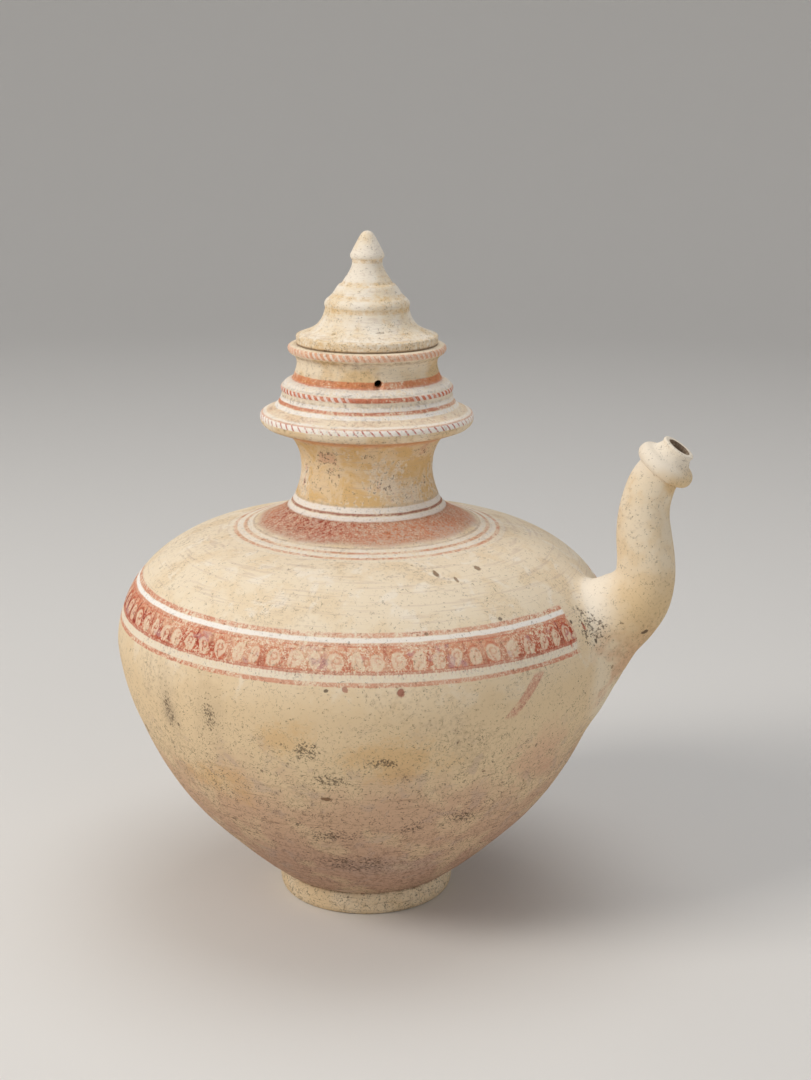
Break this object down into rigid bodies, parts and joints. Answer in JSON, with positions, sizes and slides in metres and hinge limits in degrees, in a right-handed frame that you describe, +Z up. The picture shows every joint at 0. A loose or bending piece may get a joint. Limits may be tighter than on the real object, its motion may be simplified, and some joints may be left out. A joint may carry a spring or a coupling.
{
  "type": "kendi",
  "caption": "Lidded earthenware ewer with a round hollow belly, ringed neck and collar, curved pouring spout and a loose stepped lid.",
  "frame": {"origin": "middle of the foot's flat underside, on the turning axis", "axes": "+Z up along the turning axis, +X towards the spout, +Y across"},
  "size_m": [0.3392, 0.296, 0.4],
  "materials": {
    "vessel_clay": "unglazed, worn cream slip with faded red and white bands",
    "lid_clay": "unglazed, worn pale slip"
  },
  "bodies": {
    "root": {"vessel": "vessel_clay", "shoulder": "vessel_clay", "neck": "vessel_clay", "spout": "vessel_clay", "lid": "lid_clay"}
  },
  "joints": []
}
